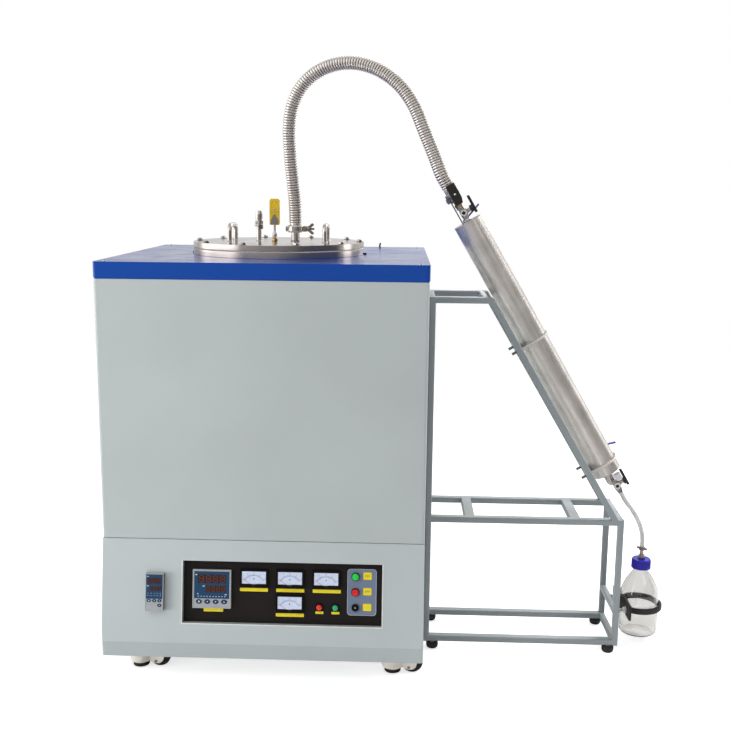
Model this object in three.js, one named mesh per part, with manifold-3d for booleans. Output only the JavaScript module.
// Pyrolysis furnace: a pit furnace cabinet with a bolted retort lid, and a condenser stand beside it.
// Millimetres, +Z up, +Y to the back. While it is built, X 0 is the cabinet's middle, Y 0 its upper
// front face and Z 0 the floor. The last lines move the origin to the middle of the footprint.
import * as THREE from "three";
import { mergeVertices } from "three/addons/utils/BufferGeometryUtils.js";
import Module from "manifold-3d";

const wasm = await Module();
wasm.setup();

// Clearances and cutting
const gap = 0.3; // between pieces that touch
const slip = 0.5; // around pieces that turn or slide
const bite = 1; // how far joined shapes run into each other
const overrun = 2; // how far a cut runs past a face

// Cabinet
const cabinetWidth = 800;
const cabinetDepth = 740;
const sheet = 2;
const floorClearance = 66; // floor to the cabinet's lower edge
const bandHeight = 38; // upright band under the sloping front
const consoleHeight = 253; // the sloping front, measured upright
const consoleLean = 45; // how far the front stands out at the band
const upperHeight = 648;
const coverHeight = 38;
const cornerRadius = 7;
const coverLip = 1; // the cover stands out over the shell
const coverGap = 3; // shadow line under the cover
const creaseHeight = floorClearance + bandHeight;
const seamHeight = creaseHeight + consoleHeight;
const coverBottom = seamHeight + upperHeight;
const coverTop = coverBottom + coverHeight;

// Retort, insulation and heater
const retortRadius = 203;
const retortWall = 5;
const retortFloorGap = 43; // between the retort and the floor of the insulation
const flangeOverhang = 27;
const flangeThickness = 16;
const coverHoleGap = 9; // around the retort
const gasketThickness = 2.5;
const gasketInset = 3; // from the retort's wall
const heaterSpace = 37; // between the retort and the insulation
const insulationMargin = 40; // between the insulation and the cabinet's front and back
const insulationFloor = 120;
const heaterRod = 4;
const heaterMargin = 63; // above the floor and below the top of the insulation
const heaterTurns = 7;
const heaterSteps = 14;
const roundSides = 40;
const axisY = cabinetDepth / 2; // the retort's axis
const flangeRadius = retortRadius + flangeOverhang;
const insulationInner = retortRadius + heaterSpace;
const insulationOuter = cabinetDepth / 2 - insulationMargin;
const insulationTop = coverTop - sheet - gap;
const flangeTop = coverTop + flangeThickness;
const gasketTop = flangeTop + gasketThickness;

// Ribbed hose
const hoseCrest = 16.5;
const hoseValley = 13.6;
const hoseBore = 12;
const hoseRibs = 140;
const ribPoints = 8;
const ribsPerBoreRing = 5;

// Lid
const lidThickness = 15;
const lidTop = gasketTop + lidThickness;
const lidBolts = 10;
const boltInset = 13; // from the lid's edge
const boltHeadRadius = 9;
const boltHeadHeight = 7;
const handleX = 127;
const handleSpan = 100;
const handleRise = 49;
const handleRod = 6;
const handleBend = 17;
const stub = { x: 44, radius: 11.5, wall: 2, rise: 33.5, flangeThickness: 6, flangeMargin: 0.5 };
const stubFlange = hoseCrest + stub.flangeMargin;
const stubTop = lidTop + stub.rise;

// Condenser, on an axis that leans over the stand
const condenserLength = 769;
const condenserRadius = 38;
const condenserWall = 2.5;
const condenserLean = THREE.MathUtils.degToRad(30.63); // from upright
const condenserInset = 96; // from the stand's left end to the middle of its top end
const condenserFoot = 105.3; // from the platform to the middle of its lower end
const condenserRise = 187; // from the stand's top to the middle of its top end
const coreRadius = 10;
const coreWall = 2;
const coreTop = 8; // above the jacket
const upperBand = 355; // down the axis to the U-bolt
const lowerBandInset = 31; // from the lower end
const boltRod = 3;
const boltTail = 68; // from the axis to the U-bolt's ends
const lowerBand = condenserLength - lowerBandInset;

// Stand
const tube = 16;
const standGap = 5; // from the cabinet's side
const standMargin = 32.7; // past the condenser's lower end
const standFront = 175;
const standDepth = 191;
const platformTop = 370;
const railBottom = 20;
const crossWidth = 28;
const crossInset = 103; // of the platform's left cross bar
const crossSpacing = 278;
const bottleBarTop = 120;
const footRadius = 16;
const footInset = 25;
const standLeft = cabinetWidth / 2 + standGap;
const condenserX = standLeft + condenserInset;
const condenserZ = platformTop + condenserFoot + condenserLength * Math.cos(condenserLean);
const standRight = condenserX + condenserLength * Math.sin(condenserLean) + standMargin;
const standTop = condenserZ - condenserRise;
const standBack = standFront + standDepth;
const standY = standFront + standDepth / 2;

// Bottle and its holder
const bottleInset = 73.5; // from the stand's right end to the bottle's middle
const bottleRadius = 51.5;
const bottleWall = 3;
const bottleBase = 22;
const bottleRounding = 10;
const bodyHeight = 114;
const shoulderRise = 67;
const neckRise = 15;
const neckRadius = 20;
const capRadius = 26;
const capRise = 14; // above the neck
const drainRadius = 6;
const bottleX = standRight + bottleInset;
const shoulderHeight = bottleBase + bodyHeight;
const neckHeight = shoulderHeight + shoulderRise;
const neckTop = neckHeight + neckRise;
const capTop = neckTop + capRise;

// Casters
const casterInset = 75; // from the cabinet's side
const casterFront = 45;
const casterRearInset = 75;
const wheelRadius = 27;
const wheelWidth = 20;
const wheelTrail = 50; // from the swivel's axis
const pinRadius = 4;
const drumRadius = 28;
const drumLow = 13;
const padRadius = 21;
const padThickness = 11;
const padLift = 1.5; // the levelling pad stands clear of the floor
const stemRadius = 8;
const stemReach = 20; // into the drum
const casterPlateHalf = 35;
const casterPlateThickness = 4;
const casterX = cabinetWidth / 2 - casterInset;
const casterRear = cabinetDepth - casterRearInset;
const casterPlaces = [
  ["front_left", -casterX, casterFront],
  ["front_right", casterX, casterFront],
  ["rear_left", -casterX, casterRear],
  ["rear_right", casterX, casterRear],
];

// Control panel: places are measured across from X 0, and down the sloping front from the seam
const slopeAngle = Math.atan2(consoleHeight, consoleLean);
const spacing = { left: 24, meters: 21.5, between: 20, plate: 18, right: 14.5 };
const mainController = { down: 123, size: 96, proud: 9, body: 88, behind: 60 };
const limitController = { down: 129, width: 45, height: 93, proud: 15, behind: 60, rim: 4 };
const meter = { upper: 94, lower: 155, width: 70, height: 44, proud: 8 };
const lamp = { left: 16.5, right: 23.5, down: 164, radius: 9.2, rim: 4, domeRadius: 6.5, height: 9 };
const switchPlate = { down: 124, width: 72, height: 115, thickness: 2, radius: 8 };
const controls = { left: 16, start: 85.5, stop: 124, key: 162 };
const meterStart = spacing.left + mainController.size + spacing.meters;
const meterPitch = meter.width + spacing.between;
const plateStart = meterStart + 3 * meterPitch - spacing.between + spacing.plate;
const recess = { width: plateStart + switchPlate.width + spacing.right, top: 52, bottom: 207, depth: 16 };
const leftShare = 0.6612; // of the front's width beside the recess
const limitShare = 0.669; // of the width left of the recess
const recessInset = (cabinetWidth - recess.width) * leftShare;
recess.left = recessInset - cabinetWidth / 2;
recess.right = recess.left + recess.width;
const mainX = recess.left + spacing.left + mainController.size / 2;
const meterX = (column) => recess.left + meterStart + meter.width / 2 + column * meterPitch;
const plateX = recess.left + plateStart + switchPlate.width / 2;
const switchX = plateX - controls.left;
const limitX = recessInset * limitShare - cabinetWidth / 2;
const button = { radius: 8.6, height: 5.5, travel: 3, shaft: 4, behind: 25 };
const keySlot = { halfWidth: 1, halfLength: 4, depth: 2 };

// A closed three.js geometry as a solid, and back
const shapeOf = (geometry) => {
  const bare = geometry.index ? geometry.toNonIndexed() : geometry.clone();
  for (const name of Object.keys(bare.attributes)) {
    if (name !== "position") bare.deleteAttribute(name);
  }
  const merged = mergeVertices(bare, 1e-4);
  return new wasm.Manifold(
    new wasm.Mesh({
      numProp: 3,
      vertProperties: new Float32Array(merged.attributes.position.array),
      triVerts: new Uint32Array(merged.index.array),
    }),
  );
};

const geometryOf = (solid) => {
  const mesh = solid.getMesh();
  const positions = new Float32Array(mesh.numVert * 3);
  for (let i = 0; i < mesh.numVert; i++) {
    for (let k = 0; k < 3; k++) positions[i * 3 + k] = mesh.vertProperties[i * mesh.numProp + k];
  }
  const geometry = new THREE.BufferGeometry();
  geometry.setAttribute("position", new THREE.BufferAttribute(positions, 3));
  geometry.setIndex(new THREE.BufferAttribute(new Uint32Array(mesh.triVerts), 1));
  geometry.computeVertexNormals();
  return geometry;
};

const join = (...parts) => {
  const [first, ...rest] = parts.flat();
  return geometryOf(rest.reduce((sum, part) => sum.add(shapeOf(part)), shapeOf(first)));
};

const cut = (body, ...tools) => {
  return geometryOf(tools.flat().reduce((sum, tool) => sum.subtract(shapeOf(tool)), shapeOf(body)));
};

const common = (one, other) => geometryOf(shapeOf(one).intersect(shapeOf(other)));

// Basic shapes
const block = (x0, x1, y0, y1, z0, z1) => {
  const geometry = new THREE.BoxGeometry(x1 - x0, y1 - y0, z1 - z0);
  return geometry.translate((x0 + x1) / 2, (y0 + y1) / 2, (z0 + z1) / 2);
};

const rod = (radius, z0, z1, sides = 16) => {
  const geometry = new THREE.CylinderGeometry(radius, radius, z1 - z0, sides);
  return geometry.rotateX(Math.PI / 2).translate(0, 0, (z0 + z1) / 2);
};

const rodAlongY = (radius, y0, y1, sides = 16) => rod(radius, y0, y1, sides).rotateX(-Math.PI / 2);

const rodAlongX = (radius, x0, x1, sides = 16) => rod(radius, x0, x1, sides).rotateY(Math.PI / 2);

// A profile of [radius, z] points, turned about Z
const turned = (points, sides = 32) => {
  const profile = points.map(([radius, z]) => new THREE.Vector2(radius, z));
  return new THREE.LatheGeometry(profile, sides).rotateX(Math.PI / 2);
};

const ring = (inner, outer, z0, z1, sides = 32) => {
  return turned([[inner, z0], [outer, z0], [outer, z1], [inner, z1], [inner, z0]], sides);
};

const roundedShape = (x0, x1, y0, y1, radius) => {
  const shape = new THREE.Shape();
  shape.moveTo(x0 + radius, y0);
  shape.lineTo(x1 - radius, y0);
  shape.absarc(x1 - radius, y0 + radius, radius, -Math.PI / 2, 0);
  shape.lineTo(x1, y1 - radius);
  shape.absarc(x1 - radius, y1 - radius, radius, 0, Math.PI / 2);
  shape.lineTo(x0 + radius, y1);
  shape.absarc(x0 + radius, y1 - radius, radius, Math.PI / 2, Math.PI);
  shape.lineTo(x0, y0 + radius);
  shape.absarc(x0 + radius, y0 + radius, radius, Math.PI, 1.5 * Math.PI);
  return shape;
};

const extrude = (shape, z0, z1, curveSegments = 3) => {
  const options = { depth: z1 - z0, bevelEnabled: false, curveSegments };
  return new THREE.ExtrudeGeometry(shape, options).translate(0, 0, z0);
};

const roundedSlab = (x0, x1, y0, y1, radius, z0, z1) => {
  return extrude(roundedShape(x0, x1, y0, y1, radius), z0, z1);
};

// An outline of [y, z] points, run along X
const alongX = (points, x0, x1) => {
  const shape = new THREE.Shape(points.map(([y, z]) => new THREE.Vector2(y, z)));
  const turn = new THREE.Matrix4().set(0, 0, 1, 0, 1, 0, 0, 0, 0, 1, 0, 0, 0, 0, 0, 1);
  return extrude(shape, x0, x1).applyMatrix4(turn);
};

// An outline of [x, z] points, run along Y
const alongY = (points, y0, y1) => {
  const shape = new THREE.Shape(points.map(([x, z]) => new THREE.Vector2(x, z)));
  return extrude(shape, -y1, -y0).rotateX(Math.PI / 2);
};

// A round section that follows a curve
const swept = (curve, radius, sides, steps) => {
  const circle = new THREE.Shape();
  for (let i = 0; i < sides; i++) {
    const angle = (i / sides) * 2 * Math.PI;
    const point = [radius * Math.cos(angle), radius * Math.sin(angle)];
    if (i === 0) circle.moveTo(...point);
    else circle.lineTo(...point);
  }
  circle.closePath();
  const options = { steps, extrudePath: curve, curveSegments: 1, bevelEnabled: false };
  return new THREE.ExtrudeGeometry(circle, options);
};

// A path through a U: up one leg, round the bend and down the other
const bendSteps = 6;
const uPath = (halfSpan, legLength, bendRadius, place) => {
  const straight = halfSpan - bendRadius;
  const stops = [[halfSpan, 0]];
  for (let i = 0; i <= bendSteps * 2; i++) {
    const angle = ((i / bendSteps) * Math.PI) / 2;
    const across = bendRadius * Math.cos(angle);
    const up = legLength + bendRadius * Math.sin(angle);
    const side = i <= bendSteps ? 1 : -1;
    stops.push([across + side * straight, up]);
    if (i === bendSteps && straight > 0) stops.push([across - straight, up]);
  }
  stops.push([-halfSpan, 0]);
  const points = stops.map(([across, up]) => place(across, up));
  const path = new THREE.CurvePath();
  for (let i = 1; i < points.length; i++) path.add(new THREE.LineCurve3(points[i - 1], points[i]));
  return path;
};

// Finishes
const paint = (color, roughness, metalness) => {
  return new THREE.MeshStandardMaterial({ color, roughness, metalness });
};
const finishes = {
  shellPaint: () => paint(0xb6c1c0, 0.55, 0.1),
  coverPaint: () => paint(0x0f4bac, 0.45, 0.1),
  framePaint: () => paint(0x98a2a6, 0.5, 0.2),
  panelPaint: () => paint(0x242325, 0.5, 0.1),
  steel: () => paint(0xb8b2ae, 0.3, 0.9),
  brightSteel: () => paint(0xcfc8c4, 0.15, 1),
  blackPlastic: () => paint(0x1a1a1c, 0.45, 0),
  bluePlastic: () => paint(0x1f2a9c, 0.4, 0),
  greyPlastic: () => paint(0xb9b9bb, 0.5, 0),
  yellowPlastic: () => paint(0xe4bf2c, 0.45, 0),
  redPlastic: () => paint(0xc02820, 0.35, 0),
  greenPlastic: () => paint(0x1e8a5c, 0.35, 0),
  ivoryPaint: () => paint(0xe8e2d4, 0.45, 0.05),
  glass: () => paint(0xdfe6e6, 0.08, 0),
  vinyl: () => paint(0xd0d0cf, 0.2, 0),
  fibre: () => paint(0xe9e6de, 0.95, 0),
  seal: () => paint(0xd9cfae, 0.8, 0),
  heaterWire: () => paint(0x6b625c, 0.6, 0.7),
};

const root = new THREE.Group();
const add = (parent, name, geometry, finish) => {
  const mesh = new THREE.Mesh(geometry, finishes[finish]());
  mesh.name = name;
  parent.add(mesh);
  return mesh;
};

// The sloping front's own frame: x across, y up the slope, z out of it
const front = new THREE.Group();
front.position.set(0, 0, seamHeight);
front.rotation.x = slopeAngle;
root.add(front);
front.updateMatrix();
const ontoFront = (geometry) => geometry.applyMatrix4(front.matrix);
const onFront = (x, downSlope, width, height, z0, z1) => {
  return block(
    x - width / 2, x + width / 2, -downSlope - height / 2, -downSlope + height / 2, z0, z1,
  );
};

// Lower cabinet with the sloping front, its recess, and the hole for the supply cable
const recessBlock = (margin, z0, z1) => {
  return block(
    recess.left - margin,
    recess.right + margin,
    -recess.bottom - margin,
    -recess.top + margin,
    z0,
    z1,
  );
};
const limitBody = (margin, z0, z1) => {
  const { down: middle, width, height, rim } = limitController;
  const narrower = 2 * (margin - rim);
  return onFront(limitX, middle, width + narrower, height + narrower, z0, z1);
};
const gland = { x: 250, z: 130, radius: 11, inside: 14, outside: 12, nut: 16 };

const consoleBody = (inset) => {
  const half = cabinetWidth / 2 - inset;
  const low = floorClearance - (inset > 0 ? overrun : 0);
  const plan = roundedSlab(
    -half, half, inset - consoleLean, cabinetDepth - inset, cornerRadius, low, seamHeight - inset,
  );
  const profile = [
    [inset, seamHeight - inset],
    [inset - consoleLean, creaseHeight],
    [inset - consoleLean, floorClearance - overrun],
    [cabinetDepth - inset, floorClearance - overrun],
    [cabinetDepth - inset, seamHeight - inset],
  ];
  return common(plan, alongX(profile, -half - overrun, half + overrun));
};

const lowerCabinet = () => {
  const shell = cut(consoleBody(0), consoleBody(sheet));
  const panelBack = -recess.depth - sheet;
  const pocket = ontoFront(recessBlock(sheet, panelBack, -sheet / 2));
  const glandHole = rodAlongY(gland.radius + slip, -overrun, sheet + overrun)
    .translate(gland.x, cabinetDepth - sheet, gland.z);
  return cut(
    join(shell, pocket),
    ontoFront(recessBlock(0, panelBack - overrun, overrun)),
    ontoFront(limitBody(gap, -sheet - 2 * overrun, overrun)),
    glandHole,
  );
};
add(root, "lower_cabinet", lowerCabinet(), "shellPaint");

const cableGland = () => {
  const barrel = rodAlongY(gland.radius, -gland.inside, gland.outside - bite, 12);
  const nut = rodAlongY(gland.nut, sheet + gap, gland.outside, 6);
  const bore = rodAlongY(gland.radius / 2, -gland.inside - overrun, gland.outside + overrun, 8);
  return cut(join(barrel, nut), bore);
};
const glandPiece = add(root, "cable_gland", cableGland(), "blackPlastic");
glandPiece.position.set(gland.x, cabinetDepth - sheet, gland.z);

// Upper cabinet and its cover
const shellTop = coverBottom - coverGap;
const slabInside = (margin, z0, z1) => {
  const half = cabinetWidth / 2 - margin;
  return roundedSlab(-half, half, margin, cabinetDepth - margin, cornerRadius - margin, z0, z1);
};
const upperCabinet = () => {
  return cut(
    slabInside(0, seamHeight, shellTop),
    slabInside(sheet, seamHeight - overrun, shellTop + overrun),
  );
};
add(root, "upper_cabinet", upperCabinet(), "shellPaint");

// A lip inside the cover's skirt rests on the upper cabinet
const lipWidth = 3 * sheet;
const topCover = () => {
  const tray = cut(
    slabInside(-coverLip, coverBottom, coverTop),
    slabInside(sheet - coverLip, coverBottom - overrun, coverTop - sheet),
  );
  const lip = cut(
    slabInside(sheet - coverLip - bite / 2, shellTop, coverBottom + sheet),
    slabInside(sheet + lipWidth / 2, shellTop - overrun, coverBottom + sheet + overrun),
  );
  const hole = rod(retortRadius + coverHoleGap, shellTop, coverTop + overrun, roundSides);
  return cut(join(tray, lip), hole.translate(0, axisY, 0));
};
add(root, "top_cover", topCover(), "coverPaint");

// The pan closes the bottom, carries the casters' plates and the power regulator
const pan = { thickness: 3, rim: 22 };
const regulator = { x: 120, y: 420, width: 240, depth: 150, height: 110 };
const basePan = () => {
  const panSlab = (margin, z0, z1) => {
    const half = cabinetWidth / 2 - margin;
    return roundedSlab(
      -half,
      half,
      margin - consoleLean,
      cabinetDepth - margin,
      cornerRadius,
      floorClearance + z0,
      floorClearance + z1,
    );
  };
  const tray = cut(
    panSlab(sheet + gap, 0, pan.rim),
    panSlab(2 * sheet + gap, pan.thickness, pan.rim + overrun),
  );
  const plates = casterPlaces.map(([, x, y]) => {
    const plate = block(
      -casterPlateHalf,
      casterPlateHalf,
      -casterPlateHalf,
      casterPlateHalf,
      -casterPlateThickness,
      bite,
    );
    return plate.translate(x, y, floorClearance);
  });
  const box = block(
    regulator.x - regulator.width / 2,
    regulator.x + regulator.width / 2,
    regulator.y - regulator.depth / 2,
    regulator.y + regulator.depth / 2,
    floorClearance + pan.thickness - bite,
    floorClearance + pan.thickness + regulator.height,
  );
  return join(tray, plates, box);
};
add(root, "base_pan", basePan(), "shellPaint");

// Hot parts, all about the retort's axis
const hot = new THREE.Group();
hot.position.set(0, axisY, 0);
root.add(hot);

const insulationBed = seamHeight + insulationFloor;
const insulationJacket = () => {
  const profile = [
    [0, seamHeight],
    [insulationOuter, seamHeight],
    [insulationOuter, insulationTop],
    [insulationInner, insulationTop],
    [insulationInner, insulationBed],
    [0, insulationBed],
  ];
  return turned(profile, roundSides);
};
add(hot, "insulation_jacket", insulationJacket(), "fibre");

class Helix extends THREE.Curve {
  constructor(radius, low, high, turns) {
    super();
    Object.assign(this, { radius, low, high, turns });
  }
  getPoint(t, target = new THREE.Vector3()) {
    const angle = t * this.turns * 2 * Math.PI;
    const height = this.low + t * (this.high - this.low);
    return target.set(this.radius * Math.cos(angle), this.radius * Math.sin(angle), height);
  }
}
const heaterCoil = () => {
  const wallApothem = insulationInner * Math.cos(Math.PI / roundSides);
  const helix = new Helix(
    wallApothem - heaterRod - 2 * gap,
    insulationBed + heaterMargin,
    insulationTop - heaterMargin,
    heaterTurns,
  );
  return swept(helix, heaterRod, 4, heaterTurns * heaterSteps);
};
add(hot, "heater_coil", heaterCoil(), "heaterWire");

const retort = () => {
  const bottom = insulationBed + retortFloorGap;
  const inside = retortRadius - retortWall;
  const profile = [
    [0, bottom],
    [retortRadius, bottom],
    [retortRadius, coverTop],
    [flangeRadius, coverTop],
    [flangeRadius, flangeTop],
    [inside, flangeTop],
    [inside, bottom + retortWall],
    [0, bottom + retortWall],
  ];
  return turned(profile, roundSides);
};
add(hot, "retort", retort(), "steel");

const lidGasket = ring(retortRadius + gasketInset, flangeRadius, flangeTop, gasketTop, roundSides);
add(hot, "lid_gasket", lidGasket, "seal");

// Lid with its exhaust stub and bolts
const inlet = {
  x: -55, tubeRadius: 6.5, tubeRise: 32, hexRadius: 12.5, hexRise: 22, topRadius: 9.5, topRise: 27,
};
const probe = {
  x: -12.6, radius: 4, reach: 75, rise: 43,
  hexRadius: 9, hexRise: 7, bulbRadius: 6.5, bulbHalf: 9.8, bulbRise: 15,
};
const lid = () => {
  const disc = rod(flangeRadius, gasketTop, lidTop, roundSides);
  const inside = stub.radius - stub.wall;
  const exhaust = turned(
    [
      [inside, gasketTop],
      [stub.radius, gasketTop],
      [stub.radius, stubTop - stub.flangeThickness],
      [stubFlange, stubTop - stub.flangeThickness],
      [stubFlange, stubTop],
      [inside, stubTop],
      [inside, gasketTop],
    ],
    16,
  );
  const bore = rod(inside, gasketTop - overrun, stubTop + overrun, 16);
  const probeHole = rod(probe.radius + gap, gasketTop - overrun, lidTop + overrun, 12);
  const heads = [];
  for (let i = 0; i < lidBolts; i++) {
    const angle = (i / lidBolts) * 2 * Math.PI;
    const circle = flangeRadius - boltInset;
    const head = rod(boltHeadRadius, lidTop - bite, lidTop + boltHeadHeight, 6);
    heads.push(head.translate(circle * Math.cos(angle), circle * Math.sin(angle), 0));
  }
  return cut(
    join(disc, exhaust.translate(stub.x, 0, 0), heads),
    bore.translate(stub.x, 0, 0),
    probeHole.translate(probe.x, 0, 0),
  );
};
add(hot, "lid", lid(), "brightSteel");

for (const [name, x] of [["lid_handle_left", -handleX], ["lid_handle_right", handleX]]) {
  const legLength = handleRise - handleRod - handleBend - gap;
  const path = uPath(handleSpan / 2, legLength, handleBend, (across, up) => {
    return new THREE.Vector3(x, across, lidTop + gap + up);
  });
  add(hot, name, swept(path, handleRod, 10, 24), "brightSteel");
}

const gasInletValve = () => {
  const hexTop = inlet.tubeRise + inlet.hexRise;
  const pieces = [
    rod(inlet.tubeRadius, 0, inlet.tubeRise + bite, 12),
    rod(inlet.hexRadius, inlet.tubeRise, hexTop, 6),
    rod(inlet.topRadius, hexTop - bite, hexTop + inlet.topRise, 12),
  ];
  return join(pieces);
};
add(hot, "gas_inlet_valve", gasInletValve(), "brightSteel").position.set(inlet.x, 0, lidTop);

const thermocoupleProbe = () => {
  const bulb = new THREE.SphereGeometry(probe.bulbRadius, 10, 8);
  bulb.scale(1, 1, probe.bulbHalf / probe.bulbRadius).translate(0, 0, probe.bulbRise);
  const sheath = rod(probe.radius, -probe.reach, probe.rise, 8);
  return join(sheath, rod(probe.hexRadius, gap, probe.hexRise, 6), bulb);
};
const probePiece = add(hot, "thermocouple_probe", thermocoupleProbe(), "brightSteel");
probePiece.position.set(probe.x, 0, lidTop);

const plug = { width: 27, thickness: 12, height: 70, foot: 4, taper: 2, shoulder: 5 };
const thermocouplePlug = () => {
  const half = plug.width / 2;
  const outline = [
    [-half + plug.taper, 0],
    [half - plug.taper, 0],
    [half, plug.foot],
    [half, plug.height - plug.shoulder],
    [half - plug.shoulder, plug.height],
    [-half + plug.shoulder, plug.height],
    [-half, plug.height - plug.shoulder],
    [-half, plug.foot],
  ];
  return alongY(outline, -plug.thickness / 2, plug.thickness / 2);
};
const plugPiece = add(hot, "thermocouple_plug", thermocouplePlug(), "yellowPlastic");
plugPiece.position.set(probe.x, 0, lidTop + probe.rise + gap);

// The clamp closes over the stub's flange and the hose's end
const clamp = { wall: 4, height: 19, lugHalf: 9, lugReach: 8.5, chamfer: 2, bolt: 3, boltReach: 30 };
const clampInner = stubFlange + 2 * gap;
const clampOuter = clampInner + clamp.wall;
const lugEnd = clampOuter + clamp.lugReach;
const stubClamp = () => {
  const { height, lugHalf, chamfer, wall } = clamp;
  const band = ring(clampInner, clampOuter, 0, height, 24);
  const lugStart = clampOuter - wall / 2;
  const lug = block(lugStart, lugEnd, -lugHalf, lugHalf, chamfer, height - chamfer);
  const bolt = rodAlongX(clamp.bolt, lugEnd - bite, lugEnd + clamp.boltReach, 8);
  const hinge = block(-lugEnd + wall, -lugStart, -lugHalf, lugHalf, chamfer, height - chamfer);
  return join(band, lug, bolt.translate(0, 0, height / 2), hinge);
};
const clampLow = stubTop - clamp.height / 2;
add(hot, "stub_clamp", stubClamp(), "brightSteel").position.set(stub.x, 0, clampLow);

const wing = { hub: 6, length: 9, root: 3, reach: 20, tip: 14, spread: 15, inner: 13, half: 2 };
const wingNut = () => {
  const bore = rodAlongX(clamp.bolt + slip, -overrun, wing.length + overrun, 8);
  const hub = cut(rodAlongX(wing.hub, 0, wing.length, 12), bore);
  const wings = [1, -1].map((side) => {
    const outline = [
      [wing.root, side * (clamp.bolt + slip + bite / 2)],
      [wing.length, side * (clamp.bolt + slip + bite / 2)],
      [wing.reach, side * wing.inner],
      [wing.tip, side * wing.spread],
      [wing.root, side * wing.hub],
    ];
    return alongY(side > 0 ? outline : outline.reverse(), -wing.half, wing.half);
  });
  return join(hub, wings);
};
const wingPiece = add(hot, "clamp_wing_nut", wingNut(), "brightSteel");
wingPiece.position.set(stub.x + lugEnd + gap, 0, stubTop);

// Condenser frame: z up its axis from the top end, x out of its upper side
const condenser = new THREE.Group();
condenser.position.set(condenserX, standY, condenserZ);
condenser.rotation.y = -condenserLean;
root.add(condenser);
condenser.updateMatrix();
const fromCondenser = (x, y, z) => new THREE.Vector3(x, y, z).applyMatrix4(condenser.matrix);
const down = fromCondenser(0, 0, -1).sub(fromCondenser(0, 0, 0));

const port = { x: 4, outside: 16, valve: 8, half: 12, pipe: 6, upperDrop: 12, lowerInset: 43 };
const portY = condenserRadius + port.outside; // behind the axis
const waterPorts = [
  ["water_outlet_lever", -port.upperDrop, THREE.MathUtils.degToRad(20)],
  ["water_inlet_lever", port.lowerInset - condenserLength, THREE.MathUtils.degToRad(-17)],
];
const sump = { x: -2, y: 5, radius: 12.5, length: 42, plug: 8 };
const condenserJacket = () => {
  const low = -condenserLength;
  const outer = rod(condenserRadius, low, 0, roundSides);
  const inner = rod(
    condenserRadius - condenserWall, low + condenserWall, -condenserWall, roundSides,
  );
  const bore = rod(coreRadius + gap, low + 2 * condenserWall, overrun, 16);
  const sumpPiece = turned(
    [
      [0, low - sump.length],
      [sump.radius * 0.6, low - sump.length * 0.94],
      [sump.radius, low - sump.length * 0.79],
      [sump.radius, low + bite],
      [0, low + bite],
    ],
    16,
  ).translate(sump.x, sump.y, 0);
  const lowerPlug = rod(2 * coreRadius, low + bite, low + sump.plug, 16);
  const ports = waterPorts.flatMap(([, z, tilt]) => {
    const stem = rod(port.valve, -port.half, port.half, 12);
    const pipe = rodAlongY(port.pipe, condenserRadius - condenserWall / 2 - portY, 0, 8);
    return [stem, pipe].map((shape) => shape.rotateY(-tilt).translate(port.x, portY, z));
  });
  return cut(join(cut(outer, inner), lowerPlug, sumpPiece, ports), bore);
};
add(condenser, "condenser_jacket", condenserJacket(), "steel");

const coreLow = 2 * condenserWall + gap - condenserLength;
const condenserCore = ring(coreRadius - coreWall, coreRadius, coreLow, coreTop, 16);
add(condenser, "condenser_core", condenserCore, "steel");

const waterLever = { hub: 6, hubTop: 16, low: 15, top: 18, back: 8, reach: 56, half: 6 };
for (const [name, z, tilt] of waterPorts) {
  const hub = rod(waterLever.hub, port.half + gap, waterLever.hubTop, 10);
  const plate = block(
    -waterLever.back,
    waterLever.reach,
    -waterLever.half,
    waterLever.half,
    waterLever.low,
    waterLever.top,
  );
  const lever = add(condenser, name, join(hub, plate), "bluePlastic");
  lever.position.set(port.x, portY, z);
  lever.rotation.y = -tilt;
}

// Small three-way valve: the flow runs along z, its open port faces the front, its stem x
const valve = {
  radius: 9, low: 16, top: 11.7, port: 8.8, reach: 16, bore: 4.3, boreDepth: 10, stem: 5.5, stemEnd: 20,
};
const valveBody = () => {
  const pieces = [
    rod(valve.radius, -valve.low, valve.top),
    rodAlongY(valve.port, -valve.reach, 0),
    rodAlongX(valve.stem, 0, valve.stemEnd, 12),
  ];
  const bore = rodAlongY(valve.bore, -valve.reach - overrun, valve.boreDepth - valve.reach, 12);
  return cut(join(pieces), bore);
};
const lever = { hub: 7.5, rise: 10, thickness: 3.5, half: 6, up: 34, down: 15 };
const valveLever = () => {
  const low = valve.stemEnd + lever.rise;
  const hub = rodAlongX(lever.hub, valve.stemEnd + gap, low + bite, 10);
  const plate = block(
    low, low + lever.thickness, -lever.half, lever.half, -lever.down, lever.up,
  );
  return join(hub, plate);
};
const vapour = { x: 2, z: coreTop + gap + valve.low };
for (const [name, shape, finish] of [
  ["vapour_valve", valveBody(), "brightSteel"],
  ["vapour_valve_lever", valveLever(), "blackPlastic"],
]) {
  add(condenser, name, shape, finish).position.set(vapour.x, 0, vapour.z);
}

const drain = {
  x: 4, y: -22, drop: 37, link: 6, nut: 8, nutLow: 24, nutTop: 15,
  socketX: 6, socketEnd: 23, socketHalf: 8, socketLow: 9, socketTop: 27.5,
};
const drainValve = () => {
  const linkEnd = sump.y - sump.radius - drain.y - 2 * gap;
  const socket = block(
    drain.socketX,
    drain.socketEnd,
    -drain.socketHalf,
    drain.socketHalf,
    drain.socketLow,
    drain.socketTop,
  );
  return join(
    valveBody(),
    rodAlongY(drain.link, 0, linkEnd, 10),
    rod(drain.nut, -drain.nutLow, -drain.nutTop, 6),
    socket,
  );
};
for (const [name, shape, finish] of [
  ["drain_valve", drainValve(), "brightSteel"],
  ["drain_valve_lever", valveLever(), "blackPlastic"],
]) {
  add(condenser, name, shape, finish).position.set(drain.x, drain.y, -condenserLength - drain.drop);
}

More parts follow.
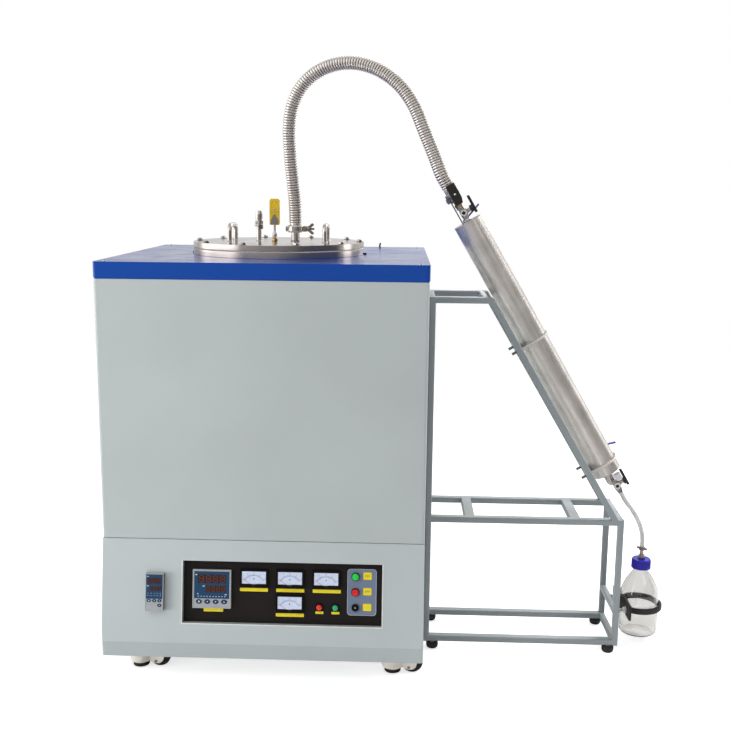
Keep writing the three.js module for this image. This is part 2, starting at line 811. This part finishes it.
// Union between hose and valve, with a lug for its locking bar and a stay down to the jacket's end
const union = {
  low: vapour.z + valve.top + gap,
  nutRadius: 9, nutTop: 47, neckRadius: 8, neckTop: 59, bodyRadius: 14, flangeRadius: 20,
  flangeThickness: 8, top: 84,
};
const lug = { x: 4, z: 78, radius: 6, start: 18.5, reach: 33.7 };
const stay = { x: -14.5, thickness: 3, half: 6, top: 68 };
const stayBlock = { x: -22, end: -12, half: 8, low: 62, top: 76.5 };
const upperCoupling = () => {
  const flangeLow = union.top - union.flangeThickness;
  return join(
    rod(union.flangeRadius, flangeLow, union.top, 20),
    rod(union.bodyRadius, union.neckTop - bite, flangeLow + bite),
    rod(union.neckRadius, union.nutTop - bite, union.neckTop, 12),
    rod(union.nutRadius, union.low, union.nutTop, 12),
    rodAlongY(lug.radius, -lug.reach, -lug.start, 10).translate(lug.x, 0, lug.z),
    block(stay.x, stay.x + stay.thickness, -stay.half, stay.half, gap, stay.top),
    block(
      stayBlock.x,
      stayBlock.end,
      -stayBlock.half,
      stayBlock.half,
      stayBlock.low,
      stayBlock.top,
    ),
  );
};
add(condenser, "upper_coupling", upperCoupling(), "brightSteel");

const lockingBar = { half: 12.3, length: 56, chamferX: 4.3, chamferZ: 14, thickness: 10 };
const couplingLockingBar = () => {
  const { half, length, chamferX, chamferZ } = lockingBar;
  const outline = [
    [-half, -length / 2],
    [half - chamferX, -length / 2],
    [half, chamferZ - length / 2],
    [half, length / 2],
    [-half, length / 2],
  ];
  return alongY(outline, -lug.reach - gap - lockingBar.thickness, -lug.reach - gap);
};
const barPiece = add(condenser, "coupling_locking_bar", couplingLockingBar(), "blackPlastic");
barPiece.position.set(lug.x, 0, lug.z);

// U-bolts round the condenser, down through the saddle bars
const boltHalf = condenserRadius + boltRod + 2 * gap;
for (const [name, drop] of [["upper_u_bolt", upperBand], ["lower_u_bolt", lowerBand]]) {
  const path = uPath(boltHalf, boltTail, boltHalf, (across, up) => {
    return new THREE.Vector3(up - boltTail, across, -drop);
  });
  add(condenser, name, swept(path, boltRod, 6, 30), "brightSteel");
}

// Ribbed hose from the lid's stub to the union
const hoseEnd = fromCondenser(0, 0, union.top + gap);
const hosePoints = [
  new THREE.Vector3(stub.x, axisY, stubTop + gap),
  new THREE.Vector3(44, 369.5, 1146),
  new THREE.Vector3(42.5, 366, 1190),
  new THREE.Vector3(37, 358, 1250),
  new THREE.Vector3(32, 350, 1315),
  new THREE.Vector3(31, 343.5, 1375),
  new THREE.Vector3(42, 337, 1436),
  new THREE.Vector3(74, 330, 1489),
  new THREE.Vector3(125, 323, 1524),
  new THREE.Vector3(190, 316, 1537),
  new THREE.Vector3(256, 309, 1523),
  new THREE.Vector3(314, 301, 1486),
  new THREE.Vector3(355, 294, 1434),
  new THREE.Vector3(386, 286, 1364),
  new THREE.Vector3(413, 279, 1301),
  fromCondenser(0, 0, union.top + gap + 3 * hoseCrest),
  fromCondenser(0, 0, union.top + gap + 1.5 * hoseCrest),
  hoseEnd,
];
const hoseCurve = new THREE.CatmullRomCurve3(hosePoints, false, "centripetal");

const ribbedHose = (curve) => {
  const rings = 2 * hoseRibs;
  const frames = curve.computeFrenetFrames(rings, false);
  const positions = [];
  const addRing = (step, radius) => {
    const centre = curve.getPointAt(step / rings);
    for (let i = 0; i < ribPoints; i++) {
      const angle = (i / ribPoints) * 2 * Math.PI;
      const point = centre
        .clone()
        .addScaledVector(frames.normals[step], radius * Math.cos(angle))
        .addScaledVector(frames.binormals[step], radius * Math.sin(angle));
      positions.push(point.x, point.y, point.z);
    }
    return positions.length / 3 - ribPoints;
  };
  const index = [];
  const bridge = (from, to) => {
    for (let i = 0; i < ribPoints; i++) {
      const next = (i + 1) % ribPoints;
      index.push(from + i, to + i, from + next, from + next, to + i, to + next);
    }
  };
  const outer = [];
  for (let i = 0; i <= rings; i++) outer.push(addRing(i, i % 2 ? hoseCrest : hoseValley));
  const bore = [];
  for (let i = 0; i <= rings; i += 2 * ribsPerBoreRing) bore.push(addRing(i, hoseBore));
  for (let i = 1; i < outer.length; i++) bridge(outer[i], outer[i - 1]);
  for (let i = 1; i < bore.length; i++) bridge(bore[i - 1], bore[i]);
  bridge(outer[0], bore[0]);
  bridge(bore[bore.length - 1], outer[outer.length - 1]);
  const geometry = new THREE.BufferGeometry();
  geometry.setAttribute("position", new THREE.Float32BufferAttribute(positions, 3));
  geometry.setIndex(index);
  return geometry;
};
add(root, "bellows_hose", ribbedHose(hoseCurve), "brightSteel");
console.log("ribbed hose", hoseCurve.getLength().toFixed(1), "mm long");

// Stand: two side frames. A cross bar runs into the frame that carries it and stops short of the other
const frontSpan = [standFront + tube - bite / 2, standBack - tube - gap];
const backSpan = [standFront + tube + gap, standBack - tube + bite / 2];
const bar = (span, x0, z0, x1 = x0 + tube) => block(x0, x1, ...span, z0, z0 + tube);

// The sloping legs run beside the condenser, just under it
const legUpper = -(condenserRadius + 2 * gap);
const legLower = legUpper - tube;
const onLeg = (offset, z) => {
  const along = (condenserZ + offset * Math.sin(condenserLean) - z) / Math.cos(condenserLean);
  return condenserX + offset * Math.cos(condenserLean) + along * Math.sin(condenserLean);
};
const topRailLow = standTop - tube;
const platformLow = platformTop - tube;

const sideFrame = (y0) => {
  const y1 = y0 + tube;
  const corners = [
    [legLower, topRailLow + tube / 2],
    [legLower, platformLow + tube / 2],
    [legUpper, platformLow + tube / 2],
    [legUpper, topRailLow + tube / 2],
  ];
  const leg = alongY(corners.map(([offset, z]) => [onLeg(offset, z), z]), y0, y1);
  const foot = (x) => {
    const rubber = rod(footRadius, 0, railBottom - gap, 16);
    const screw = rod(footRadius / 3, railBottom - gap - bite, railBottom + bite, 8);
    return join(rubber, screw).translate(x, (y0 + y1) / 2, 0);
  };
  const rail = (x1, z0) => block(standLeft + tube - bite, x1, y0, y1, z0, z0 + tube);
  const inner = standRight - tube + bite;
  return [
    block(standLeft, standLeft + tube, y0, y1, railBottom, standTop),
    block(standRight - tube, standRight, y0, y1, railBottom, platformTop),
    rail(onLeg(legUpper, standTop), topRailLow),
    rail(inner, platformLow),
    rail(inner, railBottom),
    leg,
    foot(standLeft + footInset),
    foot(standRight - footInset),
  ];
};

const saddle = (drop) => {
  const [y0, y1] = backSpan;
  const beam = block(
    legLower + gap, legUpper - gap, y0 - standY, y1 - standY, -tube / 2, tube / 2,
  );
  const holes = [1, -1].map((side) => {
    const hole = rodAlongX(boltRod + slip, legLower - overrun, legUpper + overrun, 8);
    return hole.translate(0, side * boltHalf, 0);
  });
  return cut(beam, holes).translate(0, 0, -drop).applyMatrix4(condenser.matrix);
};

const crossLeft = standLeft + crossInset;
const crossRight = crossLeft + crossSpacing;
const rightBar = standRight - tube;
const frontBars = [
  bar(frontSpan, crossLeft, platformLow, crossLeft + crossWidth),
  bar(frontSpan, crossRight, platformLow, crossRight + crossWidth),
  bar(frontSpan, rightBar, platformLow),
  bar(frontSpan, rightBar, railBottom),
  bar(frontSpan, rightBar, bottleBarTop - tube),
];
const backBars = [
  bar(backSpan, standLeft, topRailLow),
  bar(backSpan, onLeg(legLower, standTop) - tube / 2, topRailLow),
  bar(backSpan, standLeft, platformLow),
  bar(backSpan, standLeft, railBottom),
  saddle(upperBand),
  saddle(lowerBand),
];
add(root, "stand_front_frame", join(sideFrame(standFront), frontBars), "framePaint");
add(root, "stand_back_frame", join(sideFrame(standBack - tube), backBars), "framePaint");

// Bottle, cap, holder and drain hose
const flask = new THREE.Group();
flask.position.set(bottleX, standY, 0);
root.add(flask);

const shoulder = { rise: 18, wideShare: 0.9, inset: 3 };
const bottle = () => {
  const inside = bottleRadius - bottleWall;
  const neckInside = neckRadius - bottleWall;
  const profile = [
    [0, bottleBase],
    [bottleRadius - bottleRounding, bottleBase],
    [bottleRadius - bottleRounding * 0.3, bottleBase + bottleRounding * 0.3],
    [bottleRadius, bottleBase + bottleRounding],
    [bottleRadius, shoulderHeight],
    [bottleRadius * shoulder.wideShare, shoulderHeight + shoulder.rise],
    [neckRadius, neckHeight - shoulder.inset],
    [neckRadius, neckTop],
    [neckInside, neckTop],
    [neckInside, neckHeight - shoulder.inset - bottleWall / 2],
    [inside * shoulder.wideShare, shoulderHeight + shoulder.rise - bottleWall / 2],
    [inside, shoulderHeight],
    [inside, bottleBase + bottleRounding],
    [inside - bottleRounding, bottleBase + bottleWall],
    [0, bottleBase + bottleWall],
  ];
  return turned(profile, 24);
};
add(flask, "bottle", bottle(), "glass");

const fitting = { hex: 10, hexRise: 12, barb: 5, rise: 30 };
const bottleCap = () => {
  const profile = [
    [0, neckTop + gap],
    [neckRadius + gap, neckTop + gap],
    [neckRadius + gap, neckHeight],
    [capRadius, neckHeight],
    [capRadius, capTop],
    [0, capTop],
  ];
  const hex = rod(fitting.hex, capTop - bite, capTop + fitting.hexRise, 6);
  const barb = rod(fitting.barb, capTop + fitting.hexRise - bite, capTop + fitting.rise, 10);
  return join(turned(profile, 24), hex, barb);
};
add(flask, "bottle_cap", bottleCap(), "bluePlastic");

const holder = {
  low: 93, height: 16, wall: 9.2, web: 12, screw: 4, screwFront: 44, screwBack: 23,
  plateGap: 10.5, plateThickness: 8, plateFront: 10, plateBack: 54, plateLow: 96, plateHeight: 40,
};
const bottleHolder = () => {
  const low = holder.low;
  const high = low + holder.height;
  const plateX = standRight + holder.plateGap;
  const plateEnd = plateX + holder.plateThickness;
  const plateTop = holder.plateLow + holder.plateHeight;
  const plateY = [standFront - holder.plateFront, standBack - holder.plateBack];
  const clear = bottleRadius + gap;
  const band = ring(clear, clear + holder.wall, low, high, 24).translate(bottleX, standY, 0);
  const plate = block(plateX, plateEnd, ...plateY, holder.plateLow, plateTop);
  const web = block(plateEnd - bite, bottleX - clear, standY - holder.web, standY + holder.web, low, high);
  const screw = (y) => {
    const length = rodAlongX(holder.screw, standRight + 2 * gap, plateX + bite, 8);
    return length.translate(0, y, bottleBarTop - tube / 2);
  };
  const room = rod(clear, low - overrun, plateTop + overrun, 24).translate(bottleX, standY, 0);
  const screws = [screw(plateY[0] + holder.screwFront), screw(plateY[1] - holder.screwBack)];
  return cut(join(band, plate, web, screws), room);
};
add(root, "bottle_holder", bottleHolder(), "blackPlastic");

const drainOutlet = -condenserLength - drain.drop - drain.nutLow - gap;
const drainPoints = [
  fromCondenser(drain.x, drain.y, drainOutlet),
  fromCondenser(drain.x, drain.y, drainOutlet - 2 * drainRadius),
  new THREE.Vector3(945, 252, 396),
  new THREE.Vector3(960, 256, 377),
  new THREE.Vector3(974, 260, 356),
  new THREE.Vector3(987, 264, 331),
  new THREE.Vector3(995.5, 267.5, 305),
  new THREE.Vector3(998.6, 269.8, 285),
  new THREE.Vector3(bottleX, standY, capTop + fitting.rise + gap + 2 * drainRadius),
  new THREE.Vector3(bottleX, standY, capTop + fitting.rise + gap),
];
const drainCurve = new THREE.CatmullRomCurve3(drainPoints, false, "centripetal");
add(root, "drain_hose", swept(drainCurve, drainRadius, 8, 16), "vinyl");
console.log("drain hose", drainCurve.getLength().toFixed(1), "mm long");

// Casters: a swivelling body with fork and axle pin, a wheel, and a levelling pad on the swivel's axis
const fork = { sideGap: 1, cheek: 4, reach: 12, rise: 6, wheelRoom: 2 };
const casterBody = () => {
  const top = floorClearance - casterPlateThickness - gap;
  const half = wheelWidth / 2 + fork.sideGap;
  const outer = half + fork.cheek;
  const end = wheelTrail + fork.reach;
  const drum = rod(drumRadius, drumLow, top, 24);
  const arm = block(0, end, -outer, outer, drumLow + fork.rise, top);
  const room = rodAlongY(wheelRadius + fork.wheelRoom, -half, half, 24);
  const toe = block(wheelTrail, end + bite, -half, half, 0, top + overrun);
  const pin = rodAlongY(pinRadius, -outer, outer, 12).translate(wheelTrail, 0, wheelRadius);
  const bore = rod(
    stemRadius + slip, drumLow - overrun, drumLow + stemReach + overrun, 12,
  );
  const hollow = cut(join(drum, arm), room.translate(wheelTrail, 0, wheelRadius), toe);
  return cut(join(hollow, pin), bore);
};
const treadEdge = 3;
const casterWheel = () => {
  const half = wheelWidth / 2;
  const inner = pinRadius + slip;
  const profile = [
    [inner, -half],
    [wheelRadius - treadEdge, -half],
    [wheelRadius, treadEdge - half],
    [wheelRadius, half - treadEdge],
    [wheelRadius - treadEdge, half],
    [inner, half],
    [inner, -half],
  ];
  return turned(profile, 24).rotateX(Math.PI / 2).translate(wheelTrail, 0, wheelRadius);
};
const casterPad = () => {
  const disc = rod(padRadius, padLift, padLift + padThickness - gap, 20);
  return join(disc, rod(stemRadius, padLift + bite, drumLow + stemReach, 12));
};
for (const [place, x, y] of casterPlaces) {
  const caster = new THREE.Group();
  caster.position.set(x, y, 0);
  root.add(caster);
  add(caster, `${place}_caster_body`, casterBody(), "ivoryPaint");
  add(caster, `${place}_caster_wheel`, casterWheel(), "blackPlastic");
  add(caster, `${place}_levelling_pad`, casterPad(), "blackPlastic");
}

// Control panel and what it carries, in the sloping front's own frame
const panelFace = -recess.depth;
const panelBack = panelFace - sheet;
const plateFace = panelFace + switchPlate.thickness;

const controlPanel = () => {
  const plate = roundedSlab(
    -switchPlate.width / 2,
    switchPlate.width / 2,
    -switchPlate.height / 2,
    switchPlate.height / 2,
    switchPlate.radius,
    panelFace - bite,
    plateFace,
  ).translate(plateX, -switchPlate.down, 0);
  const opening = mainController.body + 2 * gap;
  const window = onFront(
    mainX, mainController.down, opening, opening, panelBack - overrun, panelFace + overrun,
  );
  const shaftHole = (downSlope) => {
    const hole = rod(button.shaft + slip, panelBack - overrun, plateFace + overrun, 8);
    return hole.translate(switchX, -downSlope, 0);
  };
  const holes = [shaftHole(controls.start), shaftHole(controls.stop), shaftHole(controls.key)];
  return cut(join(recessBlock(-gap, panelBack, panelFace), plate), window, holes);
};
add(front, "control_panel", controlPanel(), "panelPaint");

const mainUnit = () => {
  const { down: middle, size, proud, body, behind } = mainController;
  return join(
    onFront(mainX, middle, size, size, panelFace + gap, panelFace + proud),
    onFront(mainX, middle, body, body, panelFace - behind, panelFace + gap + bite),
  );
};
add(front, "main_controller", mainUnit(), "greyPlastic");

const limitUnit = () => {
  const { down: middle, width, height, proud, behind } = limitController;
  const bezel = onFront(limitX, middle, width, height, gap, proud);
  return join(bezel, limitBody(0, -behind, gap + bite));
};
add(front, "limit_controller", limitUnit(), "greyPlastic");

[[0, meter.upper], [1, meter.upper], [2, meter.upper], [1, meter.lower]].forEach(
  ([column, middle], i) => {
    const low = panelFace + gap;
    const top = panelFace + meter.proud;
    const face = onFront(meterX(column), middle, meter.width, meter.height, low, top);
    add(front, `panel_meter_${i + 1}`, face, "blackPlastic");
  },
);

const pushButton = () => {
  const low = plateFace + button.travel + gap;
  const cap = rod(button.radius, low, plateFace + button.travel + button.height);
  return join(cap, rod(button.shaft, panelFace - button.behind, low + bite, 8));
};
const keyRotor = () => {
  const top = plateFace + button.height;
  const rotor = rod(button.radius, plateFace + gap, top);
  const shaft = rod(button.shaft, panelFace - button.behind, plateFace + gap + bite, 8);
  const { halfWidth, halfLength, depth } = keySlot;
  const slot = block(-halfWidth, halfWidth, -halfLength, halfLength, top - depth, top + overrun);
  return cut(join(rotor, shaft), slot);
};
for (const [name, shape, finish, downSlope] of [
  ["start_button", pushButton(), "greenPlastic", controls.start],
  ["stop_button", pushButton(), "redPlastic", controls.stop],
  ["key_switch", keyRotor(), "brightSteel", controls.key],
]) {
  add(front, name, shape, finish).position.set(switchX, -downSlope, 0);
}

for (const [name, x, finish] of [
  ["heating_lamp", meterX(2) - lamp.left, "redPlastic"],
  ["power_lamp", meterX(2) + lamp.right, "greenPlastic"],
]) {
  const profile = [
    [0, gap],
    [lamp.radius, gap],
    [lamp.radius, lamp.rim],
    [lamp.domeRadius, lamp.height - bite],
    [0, lamp.height],
  ];
  const piece = add(front, name, turned(profile, 16), finish);
  piece.position.set(x, -lamp.down, panelFace);
}

// The origin goes to the middle of the footprint; hoses don't count
root.updateMatrixWorld(true);
const footprint = new THREE.Box3();
root.traverse((piece) => {
  if (piece.isMesh && !piece.name.endsWith("_hose")) footprint.expandByObject(piece, true);
});
const middle = footprint.getCenter(new THREE.Vector3());
root.position.set(-middle.x, -middle.y, -footprint.min.z);

export default root;
